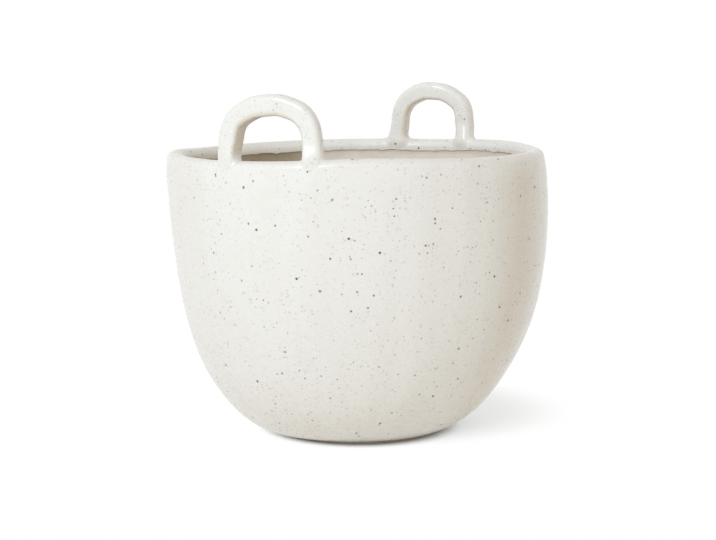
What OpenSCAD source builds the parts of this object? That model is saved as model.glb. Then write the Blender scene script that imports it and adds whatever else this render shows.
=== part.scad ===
// Stoneware flower pot with two loop handles
// Millimetres, +Z up. The origin is the centre of the foot, on the floor.
// The front handle stands at -Y and the back handle at +Y.

/* [Body] */
// Largest outside radius of the pot, over the glaze
body_r = 144.5; // [130:0.5:165]
// Height of the lip's crest above the floor
rim_z = 217; // [210:1:250]
// Height at which the pot is widest
belly_z = 198; // [160:1:200]
// How far the side draws in between its widest and the lip
rim_tuck = 1.2; // [0:0.2:4]
// How upright the side stands, from round to steep
side_rise = 2.6; // [1.8:0.1:3.2]
// How softly the side turns under towards the foot, from hard to soft
side_turn = 0.6; // [0.5:0.01:0.75]
// Thickness of the clay wall
wall_t = 9.5; // [7:0.5:11]
// Thickness of the clay floor
floor_t = 10; // [7:0.5:14]

/* [Foot] */
// Outside radius of the foot ring
foot_r = 61; // [50:1:75]
// Width of the foot ring
foot_w = 11; // [7:0.5:20]
// Height of the foot ring, which lifts the body off the floor
foot_h = 2; // [1.5:0.5:6]
// Chamfer on both lower edges of the foot ring
foot_edge = 0.6; // [0.3:0.1:1.2]

/* [Lip] */
// Thickness of the rounded lip, over the glaze
rim_t = 12.4; // [10:0.2:15]
// Height of the lip coil, from its seam with the wall to its crest
rim_h = 24; // [16:1:32]
// Height over which the wall thickens below that seam
rim_swell = 40; // [20:5:80]

/* [Glaze] */
// Thickness of the glaze coat
glaze_t = 0.8; // [0.5:0.1:1.2]
// Height of the bare band between the foot ring and the glaze
glaze_gap = 1; // [1:0.5:4]
// How far the glaze runs down inside the pot, from the crest
glaze_lap = 9; // [8:0.5:14]

/* [Handles] */
// Outside width of the front handle
front_w = 82; // [70:0.5:95]
// Height of its straight legs above the crest
front_leg = 6.5; // [2:0.5:20]
// Outside width of the back handle, which is the narrower one
back_w = 74.5; // [70:0.5:95]
// Height of its straight legs above the crest
back_leg = 11; // [2:0.5:20]
// Thickness of the strap, seen from the front
handle_t = 13.8; // [10:0.2:17]
// Depth of the strap, from its outer to its inner face
handle_d = 12.6; // [11:0.2:18]
// Radius of the strap's rounded edges
handle_edge = 4.5; // [2:0.5:5]
// How far a leg's outer face stands in from the lip's, at the middle of the leg
handle_inset = 0.6; // [0.2:0.2:4]
// How far the legs reach down over the shoulders of the lip
handle_seat = 3.5; // [2:0.5:4.5]
// Radius of the fillets where the legs meet the lip
fillet_r = 5; // [2:0.5:8]

/* [Hidden] */
$fn = 96;

// Colours as the photograph shows them
clay_colour = [0.80, 0.72, 0.63];
glaze_colour = [0.93, 0.92, 0.89];

// Steps along the side, the lip's coil, its round top and a strap's edge
side_steps = 30;
coil_steps = 4;
crest_steps = 12;
edge_steps = 5;

// Crowding of the side's steps towards the foot, where it turns hardest
side_crowding = 1.7;
// Half the height over which the side's slope is taken
slope_step = 0.05;

// Heights where one piece ends and the next begins
floor_z = foot_h + floor_t;
glaze_z = foot_h + glaze_gap;
seam_z = rim_z - rim_h;
glaze_end_z = rim_z - glaze_lap;
lip_z = rim_z - rim_t / 2;
seat_z = rim_z - handle_seat;

// The lip's clay core, and the circle that its round top runs on
lip_clay_t = rim_t - 2 * glaze_t;
lip_out_r = side_r(lip_z);
lip_mid_r = lip_out_r - rim_t / 2;

// Which side of the pot a handle stands on
front = -1;
back = 1;

// Radius and centre height of a handle's arch, and the plane that it stands in
function arch_r(way) = ((way == front ? front_w : back_w) - handle_t) / 2;
function arch_z(way) = rim_z + (way == front ? front_leg : back_leg);
function handle_y(way) =
    way * (sqrt(pow(lip_out_r, 2) - pow(arch_r(way), 2)) - handle_inset - handle_d / 2);

// Outside of the glazed side: a rounded curve up to the belly, then a slight tuck
function side_r(z) = z < belly_z
    ? foot_r + (body_r - foot_r)
        * pow(1 - pow(1 - (z - foot_h) / (belly_z - foot_h), side_rise), side_turn)
    : body_r - rim_tuck * pow((z - belly_z) / (lip_z - belly_z), 2);

// Widening that keeps a coat's true thickness where the side slopes
function lean(z) = z < belly_z
    ? sqrt(1 + pow((side_r(z + slope_step) - side_r(z - slope_step)) / (2 * slope_step), 2))
    : 1;

// Smooth passage from 0 to 1
function ease(s) = s <= 0 ? 0 : s >= 1 ? 1 : s * s * (3 - 2 * s);

function clay_t(z) = wall_t + (lip_clay_t - wall_t) * ease((z - seam_z + rim_swell) / rim_swell);
function clay_r(z) = side_r(z) - glaze_t * lean(z);
function inner_r(z) = clay_r(z) - clay_t(z) * lean(z);

// Heights of the points along the side, and along the coil above the seam
side_heights = [for (i = [0 : side_steps])
    glaze_z + (seam_z - glaze_z) * pow(i / side_steps, side_crowding)];
inside_heights = [for (i = [side_steps : -1 : 0])
    floor_z + (seam_z - floor_z) * pow(i / side_steps, side_crowding)];
coil_heights = concat(
    [for (i = [0 : coil_steps]) seam_z + (glaze_end_z - seam_z) * i / coil_steps],
    [lip_z]);

// The same list from its end to its start
function turned(list) = [for (i = [len(list) - 1 : -1 : 0]) list[i]];
// The same list without its first member
function after_first(list) = [for (i = [1 : len(list) - 1]) list[i]];

// Round top of the lip, from its outer side to its inner side
function crest(r) = [for (i = [1 : crest_steps - 1])
    let (a = 180 * i / crest_steps)
    [lip_mid_r + r * cos(a), lip_z + r * sin(a)]];

// Cross-section of a strap whose faces are set in by an amount
function strap(inset) =
    let (r = handle_edge - inset, w = handle_t / 2 - inset - r, d = handle_d / 2 - inset - r)
    rounded(w, d, r);

// Rectangle with round corners, given by its corner centres and their radius
function rounded(w, d, r) = [
    for (corner = [0 : 3])
    let (x = (corner == 0 || corner == 3) ? w : -w, y = corner < 2 ? d : -d)
    for (i = [0 : edge_steps])
    let (a = 90 * (corner + i / edge_steps))
    [x + r * cos(a), y + r * sin(a)]
];

// Section of the clay wall, from the floor slab's edge to the seam
module wall_section() {
    polygon(concat(
        [[foot_r, foot_h], [clay_r(glaze_z) - glaze_gap, foot_h]],
        [for (z = side_heights) [clay_r(z), z]],
        [for (z = inside_heights) [inner_r(z), z]],
        [[foot_r, floor_z]]
    ));
}

// Section of the clay lip, from the seam over its round crest
module lip_section() {
    polygon(concat(
        [for (z = coil_heights) [clay_r(z), z]],
        crest(lip_clay_t / 2),
        [for (z = turned(coil_heights)) [inner_r(z), z]]
    ));
}

// Section of the glaze coat: up the side, over the lip and a little way down inside
module glaze_section() {
    heights = concat(side_heights, after_first(coil_heights));
    polygon(concat(
        [for (z = heights) [side_r(z), z]],
        crest(rim_t / 2),
        [for (z = [lip_z, glaze_end_z]) [inner_r(z) - glaze_t, z]],
        [for (z = [glaze_end_z, lip_z]) [inner_r(z), z]],
        turned(crest(lip_clay_t / 2)),
        [for (z = turned(heights)) [clay_r(z), z]]
    ));
}

// The two legs of one loop, from the shoulders of the lip up to the arch
module legs(way, inset) {
    for (side = [-1, 1])
        translate([side * arch_r(way), handle_y(way), seat_z])
            linear_extrude(arch_z(way) - seat_z)
                polygon(strap(inset));
}

// One strap bent to a half circle on two straight legs
module loop(way, inset) {
    translate([0, handle_y(way), arch_z(way)])
        rotate([90, 0, 0])
            rotate_extrude(angle = 180)
                translate([arch_r(way), 0])
                    polygon(strap(inset));
    legs(way, inset);
}

// Clay core of one handle, seated on the clay of the lip
module handle_clay(way) {
    color(clay_colour)
        difference() {
            loop(way, glaze_t);
            rotate_extrude() lip_section();
        }
}

// Glaze coat of one handle, down to the clay of the lip
module handle_glaze(way) {
    color(glaze_colour)
        difference() {
            loop(way, 0);
            loop(way, glaze_t);
            rotate_extrude() lip_section();
        }
}

// Flare of a leg along the lip: straight below the crest, hollowed out above it
module flare(reach) {
    difference() {
        translate([-reach, seat_z])
            square([2 * reach, rim_z + fillet_r - seat_z]);
        for (side = [-1, 1])
            translate([side * reach, rim_z + fillet_r])
                circle(fillet_r);
    }
}

// The four fillets of one handle: one on each side of each leg
module handle_fillets(way) {
    reach = handle_t / 2 + fillet_r;
    color(glaze_colour)
        difference() {
            intersection() {
                for (side = [-1, 1])
                    translate([side * arch_r(way), handle_y(way) + handle_d / 2, 0])
                        rotate([90, 0, 0])
                            linear_extrude(handle_d)
                                flare(reach);
                lip_band();
            }
            legs(way, 0);
            lip_core();
        }
}

// Ring that keeps the fillets a glaze's thickness inside both faces of the lip
module lip_band() {
    translate([0, 0, seat_z])
        difference() {
            cylinder(h = handle_seat + fillet_r, r = lip_out_r - glaze_t);
            translate([0, 0, -1])
                cylinder(h = handle_seat + fillet_r + 2, r = lip_out_r - rim_t + glaze_t);
        }
}

// The lip with its glaze, as one ring that the fillets are hollowed by
module lip_core() {
    rotate_extrude()
        polygon(concat(
            [[lip_out_r, lip_z]],
            crest(rim_t / 2),
            [[lip_out_r - rim_t, lip_z]]
        ));
}

// Bare ring that the pot stands on
module foot_ring() {
    color(clay_colour)
        rotate_extrude()
            polygon([
                [foot_r - foot_w, foot_h],
                [foot_r - foot_w, foot_edge],
                [foot_r - foot_w + foot_edge, 0],
                [foot_r - foot_edge, 0],
                [foot_r, foot_edge],
                [foot_r, foot_h]
            ]);
}

// Round slab that closes the bottom
module floor_slab() {
    color(clay_colour)
        translate([0, 0, foot_h])
            cylinder(h = floor_t, r = foot_r);
}

// Wall built up round the slab
module wall() {
    color(clay_colour)
        rotate_extrude() wall_section();
}

// Thick coil that makes the rounded lip
module lip_coil() {
    color(clay_colour)
        rotate_extrude() lip_section();
}

// Glaze coat of the body, open where the handles stand on the clay
module body_glaze() {
    color(glaze_colour)
        difference() {
            rotate_extrude() glaze_section();
            for (way = [front, back])
                legs(way, 0);
        }
}

foot_ring();
floor_slab();
wall();
lip_coil();
handle_clay(front);  // front_handle
handle_clay(back);  // back_handle
body_glaze();
handle_glaze(front);  // front_handle_glaze
handle_glaze(back);  // back_handle_glaze
handle_fillets(front);  // front_handle_fillets
handle_fillets(back);  // back_handle_fillets
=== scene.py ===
import math
import random

import bmesh
import bpy
import numpy as np
from bpy.props import FloatProperty, FloatVectorProperty, PointerProperty
from bpy.types import Operator, Panel, PropertyGroup
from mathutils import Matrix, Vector


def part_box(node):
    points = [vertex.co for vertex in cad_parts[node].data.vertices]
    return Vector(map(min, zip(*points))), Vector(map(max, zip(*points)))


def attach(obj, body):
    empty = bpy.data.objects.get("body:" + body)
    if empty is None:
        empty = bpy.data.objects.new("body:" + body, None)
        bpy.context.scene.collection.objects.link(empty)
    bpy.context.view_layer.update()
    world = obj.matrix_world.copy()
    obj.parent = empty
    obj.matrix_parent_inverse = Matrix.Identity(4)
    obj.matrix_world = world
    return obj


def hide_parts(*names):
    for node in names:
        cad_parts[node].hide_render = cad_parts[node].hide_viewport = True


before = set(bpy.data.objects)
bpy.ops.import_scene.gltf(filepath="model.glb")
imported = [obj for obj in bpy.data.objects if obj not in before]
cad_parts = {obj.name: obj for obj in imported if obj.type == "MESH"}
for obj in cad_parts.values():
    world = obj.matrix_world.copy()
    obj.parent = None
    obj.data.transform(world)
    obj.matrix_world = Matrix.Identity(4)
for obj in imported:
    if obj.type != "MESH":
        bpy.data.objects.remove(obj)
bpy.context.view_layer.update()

bl_info = {
    "name": "Glazed flower pot",
    "version": (1, 0, 0),
    "blender": (4, 5, 0),
    "location": "View3D > Sidebar > Flower Pot",
    "description": "Handmade flower pot with a speckled glaze, bare clay inside, and a plain studio",
    "category": "Object",
}

MM = 0.001

# Places that the frame gives, in metres
BODY_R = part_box("body_glaze")[1].x
GLAZE_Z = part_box("body_glaze")[0].z
RIM_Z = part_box("body_glaze")[1].z
GLAZE_T = RIM_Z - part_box("lip_coil")[1].z
SEAM_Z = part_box("lip_coil")[0].z
FLOOR_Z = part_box("floor_slab")[1].z
FOOT_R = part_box("foot_ring")[1].x
FOOT_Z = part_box("foot_ring")[1].z

# Each handle's turn round the pot; a setting with two values has them in this order
HANDLES = {"front": 0.0, "back": math.pi}

# A drum is a straight ring that a piece is laid out on before it is bent to its outline
DRUM_R = 1.0
ROW = 1 * MM
# Steps round the pot of each kind of piece
FOOT_TURNS = 144
CLAY_TURNS = 240
GLAZE_TURNS = 320
# Vertices this close are one, while a shape is spun and in a finished piece
SPUN_CLOSE = 0.01 * MM
PIECE_CLOSE = 0.004 * MM
# Faces that meet at more than this are shaded with a sharp edge
SHARP = math.radians(50)


class PotShape(PropertyGroup):
    """Sizes of the body that the frame doesn't tell, and how uneven the hand left it"""

    belly: FloatProperty(
        name="Widest height", description="Height at which the pot is widest",
        default=198 * MM, unit="LENGTH")
    rise: FloatProperty(
        name="Rise", description="How upright the side stands, from round to steep",
        default=2.6)
    bend: FloatProperty(
        name="Bend", description="How softly the side bends under towards the foot",
        default=0.6)
    tuck: FloatProperty(
        name="Tuck", description="How far the side draws in above its widest",
        default=1.2 * MM, unit="LENGTH")
    lip: FloatProperty(
        name="Lip thickness", description="Thickness of the rounded lip, over the glaze",
        default=12.4 * MM, unit="LENGTH")
    wall: FloatProperty(
        name="Wall thickness", description="Thickness of the clay wall below the lip",
        default=9.5 * MM, unit="LENGTH")
    swell: FloatProperty(
        name="Swell height", description="Height over which the wall thickens to the lip",
        default=40 * MM, unit="LENGTH")
    lap: FloatProperty(
        name="Glaze lap", description="How far the glaze runs down inside, from the crest",
        default=9 * MM, unit="LENGTH")
    foot_width: FloatProperty(
        name="Foot width", description="Width of the bare ring that the pot stands on",
        default=11 * MM, unit="LENGTH")
    wander: FloatProperty(
        name="Glaze edge wander", description="How far the glaze's inner edge wanders up and down",
        default=0.6 * MM, unit="LENGTH")
    facets: FloatProperty(
        name="Facets", description="Depth of the soft upright facets left by the scraping rib",
        default=0.22 * MM, unit="LENGTH")
    dents: FloatProperty(
        name="Finger dents", description="Depth of the finger dents inside the pot",
        default=0.35 * MM, unit="LENGTH")
    hang: FloatProperty(
        name="Hanging edge", description="How far the body's lower edge hangs down at one side",
        default=3.5 * MM, unit="LENGTH")


class HandleShape(PropertyGroup):
    """Section and bend of the loop handles; two values are for the front and the back one"""

    thick: FloatVectorProperty(
        name="Leg thickness", description="Thickness of the legs, seen along the lip",
        default=(14.4 * MM, 13.6 * MM), size=2, unit="LENGTH")
    deep: FloatProperty(
        name="Strap depth", description="Depth of the strap, from its outer to its inner face",
        default=13 * MM, unit="LENGTH")
    edge: FloatProperty(
        name="Opening edge", description="Radius of the strap's edges towards the opening",
        default=2.8 * MM, unit="LENGTH")
    outer_edge: FloatProperty(
        name="Outer edge", description="Radius of the strap's outer edges",
        default=4.8 * MM, unit="LENGTH")
    leg: FloatVectorProperty(
        name="Leg height", description="Height of the straight legs",
        default=(6.5 * MM, 11 * MM), size=2, unit="LENGTH")
    square: FloatVectorProperty(
        name="Squareness", description="Shape of the arch: 2 is round, more is squarer",
        default=(2.5, 2.4), size=2)
    blend: FloatVectorProperty(
        name="Smear", description="Width over which a leg runs into the lip",
        default=(6 * MM, 10 * MM), size=2, unit="LENGTH")
    shift: FloatVectorProperty(
        name="Shift", description="How far the handle stands off its middle",
        default=(0.7 * MM, 1.1 * MM), size=2, unit="LENGTH")
    sag: FloatVectorProperty(
        name="Sag", description="How far the arch sags below its true height",
        default=(1.2 * MM, 1.1 * MM), size=2, unit="LENGTH")
    swell: FloatVectorProperty(
        name="Swell", description="How much thicker the arch is than its legs",
        default=(1.0 * MM, 0.8 * MM), size=2, unit="LENGTH")
    swell_at: FloatVectorProperty(
        name="Swell's place", description="Where the swell lies along the lip",
        default=(-3 * MM, 2 * MM), size=2, unit="LENGTH")
    swell_width: FloatProperty(
        name="Swell width", description="How far the swell reaches along the lip",
        default=13 * MM, unit="LENGTH")
    taper: FloatVectorProperty(
        name="Taper", description="How far each leg leans in towards the arch",
        default=(0.9 * MM, 1.1 * MM), size=2, unit="LENGTH")
    foot: FloatVectorProperty(
        name="Foot", description="How far the foot of each leg stands out",
        default=(0.0, 0.5 * MM), size=2, unit="LENGTH")
    bias: FloatVectorProperty(
        name="Uneven legs", description="Half of how much one leg is thicker than the other",
        default=(-0.5 * MM, 1.3 * MM), size=2, unit="LENGTH")
    lean: FloatProperty(
        name="Leaning leg", description="How far each right leg leans away from the camera",
        default=3 * MM, unit="LENGTH")
    uneven: FloatProperty(
        name="Unevenness", description="How far the strap wanders from its true line",
        default=0.3 * MM, unit="LENGTH")
    straight: FloatProperty(
        name="Straightness", description="How far the arch straightens the curve of the lip",
        default=1.0, subtype="FACTOR")
    untwist: FloatProperty(
        name="Untwist", description="How far a strap turns from the lip's curve to its own plane",
        default=0.35, subtype="FACTOR")


class PotColours(PropertyGroup):
    """Colours of the glaze, the clay and the iron specks, as plain light shows them"""

    glaze: FloatVectorProperty(
        name="Glaze", description="Colour of the thick glaze", subtype="COLOR",
        default=(0.83, 0.82, 0.79))
    # Also the colour of the painted shade in the upright band and in the loops' openings
    thin_glaze_and_shade: FloatVectorProperty(
        name="Thin glaze", description="Colour of the glaze where the clay shows through",
        subtype="COLOR", default=(0.74, 0.68, 0.59))
    clay: FloatVectorProperty(
        name="Bare clay", description="Colour of the bare fired clay", subtype="COLOR",
        default=(0.86, 0.80, 0.72))
    # Also the colour of the painted shade inside at the pot's left and on the foot ring, and of the
    # painted shadow under the glaze's edge
    dark_clay: FloatVectorProperty(
        name="Toasted clay", description="Colour of the clay where the fire toasted it",
        subtype="COLOR", default=(0.30, 0.23, 0.145))
    speck: FloatVectorProperty(
        name="Iron speck", description="Colour of the dark iron specks", subtype="COLOR",
        default=(0.062, 0.05, 0.042))
    faint_speck: FloatVectorProperty(
        name="Faint speck", description="Colour of the specks that lie deep in the glaze",
        subtype="COLOR", default=(0.33, 0.27, 0.21))


class StudioSettings(PropertyGroup):
    """The camera, the lamp, the room light and the floor"""

    turn: FloatProperty(
        name="Camera turn", description="How far the camera stands round to the right",
        default=math.radians(27.5), subtype="ANGLE")
    distance: FloatProperty(
        name="Camera distance", description="Distance from the pot's middle, along the floor",
        default=1.305, unit="LENGTH")
    height: FloatProperty(
        name="Camera height", description="Height of the camera above the floor",
        default=0.300, unit="LENGTH")
    pitch: FloatProperty(
        name="Camera pitch", description="How far the camera looks down",
        default=0.135, subtype="ANGLE")
    aim: FloatProperty(
        name="Camera aim", description="How far left of the pot's middle the camera aims",
        default=0.00036, subtype="ANGLE")
    lens: FloatProperty(
        name="Lens", description="Focal length, in millimetres", default=85.67)
    key: FloatProperty(
        name="Key lamp", description="Power of the large soft lamp, in watts", default=60.0)
    key_tint: FloatVectorProperty(
        name="Key tint", description="Colour of the large soft lamp", subtype="COLOR",
        default=(0.75, 0.865, 1.0))
    left: FloatVectorProperty(
        name="Left light", description="Light from the left", subtype="COLOR",
        default=(0.85, 0.86, 0.85))
    back: FloatVectorProperty(
        name="Back light", description="Light from behind the pot", subtype="COLOR",
        default=(0.64, 0.625, 0.58))
    front: FloatVectorProperty(
        name="Front light", description="Light from the camera's side", subtype="COLOR",
        default=(1.12, 1.13, 1.11))
    right: FloatVectorProperty(
        name="Right light", description="Dimmer, warmer light from the right", subtype="COLOR",
        default=(0.52, 0.50, 0.44))
    above: FloatVectorProperty(
        name="Light above", description="Light from high up", subtype="COLOR",
        default=(0.40, 0.32, 0.24))
    paper: FloatVectorProperty(
        name="Floor colour", description="Colour of the plain floor", subtype="COLOR",
        default=(0.94, 0.915, 0.87))
    floor_lift: FloatVectorProperty(
        name="Floor lift", description="What the camera sees added to the floor's own light",
        subtype="COLOR", default=(0.32, 0.37, 0.42))


def settings(kind):
    """The scene's settings of one kind: shape, handle, colours or studio."""
    return getattr(bpy.context.scene, "pot_" + kind)


def ease(share):
    """Smooth passage from 0 to 1."""
    share = np.clip(share, 0, 1)
    return share * share * (3 - 2 * share)


def passage(value, limits):
    """Smooth passage from 0 to 1 between two limits."""
    low, high = limits
    return ease((value - low) / (high - low))


# Height over which a ripple twists by its own rate
TWIST_Z = 100 * MM


def ripple(turn, counts, seed, height=0, climb=0):
    """Smooth unevenness, about 1 high, that closes on itself and twists as it climbs."""
    draw = random.Random(seed)
    total = 0
    for count in counts:
        phase = draw.uniform(0, 2 * math.pi)
        rate = draw.uniform(-climb, climb)
        total = total + np.cos(count * turn + phase + rate * height / TWIST_Z)
    return total / math.sqrt(len(counts))


def between(values, at, period=None):
    """Smooth passage through a few values at even steps, closed when it has a period."""
    values = np.array(values)
    count = len(values)
    place = np.asarray(at) % period * count / period if period else np.clip(at, 0, count - 1)
    low = np.floor(place).astype(int)
    part = place - low
    near = [low + step for step in (-1, 0, 1, 2)]
    near = [index % count if period else np.clip(index, 0, count - 1) for index in near]
    before, start, end, after = (values[index] for index in near)
    return start + part * 0.5 * (
        end - before
        + part * (2 * before - 5 * start + 4 * end - after
                  + part * (3 * (start - end) + after - before)))


# Outline of the body

# Crowding of the points up a side: 1 is even, more crowds them towards the lower end
CROWDING = 1.5


def lip_height():
    """Height at which the side passes into the lip's round top."""
    return RIM_Z - settings("shape").lip / 2


def lip_middle():
    """Radius of the middle of the lip's round top."""
    return side_radius(lip_height()) - settings("shape").lip / 2


def side_radius(height):
    """Outside radius of the glazed side: a rounded curve up to the belly, then a slight tuck."""
    s = settings("shape")
    low = np.clip((height - FOOT_Z) / (s.belly - FOOT_Z), 0, 1)
    rounded = FOOT_R + (BODY_R - FOOT_R) * (1 - (1 - low) ** s.rise) ** s.bend
    high = np.clip((height - s.belly) / (lip_height() - s.belly), 0, None)
    return rounded - s.tuck * high ** 2


def widening(height):
    """How much wider than its thickness a coat is, measured level, where the side slopes."""
    step = 0.05 * MM
    return np.hypot(1, (side_radius(height + step) - side_radius(height - step)) / (2 * step))


def clay_radius(height):
    """Outside radius of the clay, under the glaze."""
    return side_radius(height) - GLAZE_T * widening(height)


def inner_radius(height):
    """Inside radius of the clay, which thickens towards the lip."""
    s = settings("shape")
    lip_clay = s.lip - 2 * GLAZE_T
    thick = s.wall + (lip_clay - s.wall) * ease((height - SEAM_Z + s.swell) / s.swell)
    return clay_radius(height) - thick * widening(height)


def line(start, end, count):
    """Points on a straight line, without its last one."""
    share = np.linspace(0, 1, count, endpoint=False)[:, None]
    return np.array(start) * (1 - share) + np.array(end) * share


def crest_arc(radius, count):
    """Points over the lip's round top, from its outer side to its inner side."""
    angle = np.linspace(0, math.pi, count)
    return np.stack([
        lip_middle() + radius * np.cos(angle), lip_height() + radius * np.sin(angle)], 1)


def along_side(radius, low, high, count):
    """Points up a side, crowded towards its lower end."""
    heights = low + (high - low) * np.linspace(0, 1, count) ** CROWDING
    return np.stack([radius(heights), heights], 1)


def offset(points, depth):
    """The same points, set in square to their line."""
    tangent = np.gradient(points, axis=0)
    tangent /= np.linalg.norm(tangent, axis=1)[:, None]
    return points - depth * np.stack([tangent[:, 1], -tangent[:, 0]], 1)


def softened(points, passes):
    """The same points with their corners rounded, and both ends kept."""
    points = points.copy()
    for _ in range(passes):
        points[1:-1] += 0.5 * ((points[:-2] + points[2:]) / 2 - points[1:-1])
    return points


def evenly(points, count):
    """Points at even steps along a line of points."""
    marks = np.concatenate([[0], np.cumsum(np.linalg.norm(np.diff(points, axis=0), axis=1))])
    wanted = np.linspace(0, marks[-1], count)
    return np.stack([np.interp(wanted, marks, points[:, axis]) for axis in (0, 1)], 1)


# Handmade unevenness, shared by every piece so that they stay together

# Height of the lip's crest above its mean at every twelfth of a turn, from the front handle on
LIP_WAVE = [v * MM for v in (-1.6, 1.4, 0.2, 0.5, 0.2, 1.6, -0.2, -1.0, -2.2, -3.4, -1.4, -2.6)]
# Height at which the crest's waves set in, below the rim
WAVE_Z = 120 * MM
# How far the side stands out past its true round at the camera's left and at its right
LEFT_OUT = [v * MM for v in (4.0, 2.2, -0.3, -1.4, 0.1, 2.6)]
RIGHT_OUT = [v * MM for v in (-0.8, -0.6, 1.6, 1.9, 1.2, -1.2)]
# Height between these values, from the floor up
OUT_STEP = 43.4 * MM
# Height up to which the lower edge hangs, and the width past the foot over which it sets in
HANG_Z = 45 * MM
HANG_WIDTH = 20 * MM
# Facets set in between these heights and these radii
FACET_Z = (6 * MM, 46 * MM)
FACET_R = (80 * MM, 110 * MM)
# The slow hollows of the side are this much deeper than its facets
HOLLOWS = 2.2
# Finger dents run out between these heights, and a dent is this share of the ripples' sum
DENT_Z = (170 * MM, 200 * MM)
DENT_SHARE = 0.6


def turn_of(points):
    """Turn of points round the pot: 0 is the front handle's side, and it grows to the right."""
    return np.arctan2(points[:, 0], -points[:, 1])


def crest_wave(turn):
    """Height of the lip's crest above its mean."""
    return between(LIP_WAVE, turn, 2 * math.pi)


def handmade(points):
    """Moves the points of a true round pot to where the hand left them."""
    s = settings("shape")
    x, y, z = points.T
    turn = turn_of(points)
    radius = np.hypot(x, y)
    outward = s.facets * (
        ripple(turn, (9, 13, 17, 22, 31), seed=3, height=z, climb=1.2)
        + HOLLOWS * ripple(turn, (3, 4, 5), seed=8, height=z, climb=0.8))
    outward *= passage(z, FACET_Z) * passage(radius, FACET_R)
    # From -1 at the camera's left to 1 at its right
    across = np.sin(turn - settings("studio").turn)
    level = z / OUT_STEP
    uneven = np.where(across > 0, between(RIGHT_OUT, level), between(LEFT_OUT, level))
    outward += uneven * across ** 2 * ease(radius / FOOT_R - 1)
    away = outward / np.maximum(radius, ROW)
    raised = passage(z, (WAVE_Z, RIM_Z)) * crest_wave(turn)
    low = ease((radius - FOOT_R) / HANG_WIDTH) * (1 - ease(z / HANG_Z))
    hung = s.hang * low * np.clip(-across, 0, 1)
    return np.stack([x * (1 + away), y * (1 + away), z + raised - hung], 1)


def finger_dents(turn, height):
    """How far the inner face stands out from its true round."""
    bumps = ripple(turn, (14, 19, 23, 29), seed=5, height=height, climb=14)
    bumps = bumps + ripple(turn, (4, 7), seed=6, height=height, climb=3)
    return DENT_SHARE * settings("shape").dents * bumps * (1 - passage(height, DENT_Z))


# Making and finishing meshes


def spun(corners, closed, cuts, turns):
    """Turns a line of (radius, height) corners round the upright axis, once it is cut finer."""
    bm = bmesh.new()
    starts = [bm.verts.new((radius, 0, height)) for radius, height in corners]
    ends = starts[1:] + (starts[:1] if closed else [])
    sides = [bm.edges.new(pair) for pair in zip(starts, ends)]
    for chosen, count in cuts:
        bmesh.ops.subdivide_edges(bm, edges=[sides[i] for i in chosen], cuts=count)
    bmesh.ops.spin(
        bm, geom=bm.verts[:] + bm.edges[:], cent=(0, 0, 0), axis=(0, 0, 1),
        angle=2 * math.pi, steps=turns, use_merge=True)
    bmesh.ops.remove_doubles(bm, verts=bm.verts, dist=SPUN_CLOSE)
    return bm


def drum(rows, thickness, turns):
    """A straight ring of the given height in rows, with its outer face at the drum's radius."""
    inner = DRUM_R - thickness
    corners = [(DRUM_R, 0), (DRUM_R, rows * ROW), (inner, rows * ROW), (inner, 0)]
    return spun(corners, True, [((0, 2), rows - 1)], turns)


def round_edges(bm, radius, height, width):
    """Rounds the ring of edges at one radius and height of a drum."""

    def on_ring(vert):
        off = math.hypot(*vert.co.xy) - radius
        return abs(vert.co.z - height) < SPUN_CLOSE and abs(off) < SPUN_CLOSE

    ring = [edge for edge in bm.edges if all(map(on_ring, edge.verts))]
    bmesh.ops.bevel(
        bm, geom=ring, offset=width, segments=3, profile=0.5, affect="EDGES",
        material=-1, offset_type="OFFSET", clamp_overlap=True)


def lay(bm, place):
    """Puts each vertex of a drum where place() says, from its turn, its row and its depth."""
    co = np.array([vert.co[:] for vert in bm.verts])
    turn = np.arctan2(co[:, 1], co[:, 0])
    depth = DRUM_R - np.hypot(co[:, 0], co[:, 1])
    for vert, point in zip(bm.verts, place(turn, co[:, 2] / ROW, depth)):
        vert.co = point


def ring_points(turn, radius, height):
    """Points round the pot at a turn, a radius and a height."""
    return np.stack([radius * np.sin(turn), -radius * np.cos(turn), height], 1)


def on_outline(outer, inner, row, across):
    """Radius and height at a row of two outlines, part of the way from outer to inner."""
    rows = np.arange(len(outer))
    across = np.clip(across, 0, 1)
    return [
        np.interp(row, rows, outer[:, axis]) * (1 - across)
        + np.interp(row, rows, inner[:, axis]) * across
        for axis in (0, 1)
    ]


def finish_piece(bm, name, slot, nodes, marks=None):
    """Makes a mesh object from a bmesh and puts it on the pot in place of its CAD nodes."""
    bmesh.ops.remove_doubles(bm, verts=bm.verts, dist=PIECE_CLOSE)
    bmesh.ops.recalc_face_normals(bm, faces=bm.faces)
    mesh = bpy.data.meshes.new(name)
    bm.to_mesh(mesh)
    bm.free()
    mesh.shade_smooth()
    mesh.set_sharp_from_angle(angle=SHARP)
    mesh.materials.append(MATERIALS[slot]())
    for mark, value in (marks or {}).items():
        co = np.array([vert.co[:] for vert in mesh.vertices])
        mesh.attributes.new(mark, "FLOAT", "POINT").data.foreach_set(
            "value", value(co).astype(np.float32))
    piece = bpy.data.objects.new(name, mesh)
    bpy.context.scene.collection.objects.link(piece)
    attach(piece, "root")
    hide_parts(*nodes)


# Parts of the wander that are slow and that are drips, and how far both are raised
WANDER_SLOW = 0.55
WANDER_DRIPS = 0.8
WANDER_UP = 0.3


def glaze_wander(turn):
    """How many rows the glaze's inner edge runs down past its mean, with small drips."""
    slow = ripple(turn, (5, 8, 13, 21), seed=11)
    drips = np.clip(ripple(turn, (37, 53, 71, 90), seed=12), 0, None)
    rows = settings("shape").wander / ROW
    return rows * (WANDER_SLOW * slow + WANDER_DRIPS * drips - WANDER_UP)


# Turn round the pot at which the painted shade on the clay's inner side is darkest, at the pot's
# left, and how deep inside it fades
SHADE_TURN = math.radians(275)
SHADE_DEPTH = 50 * MM
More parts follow.
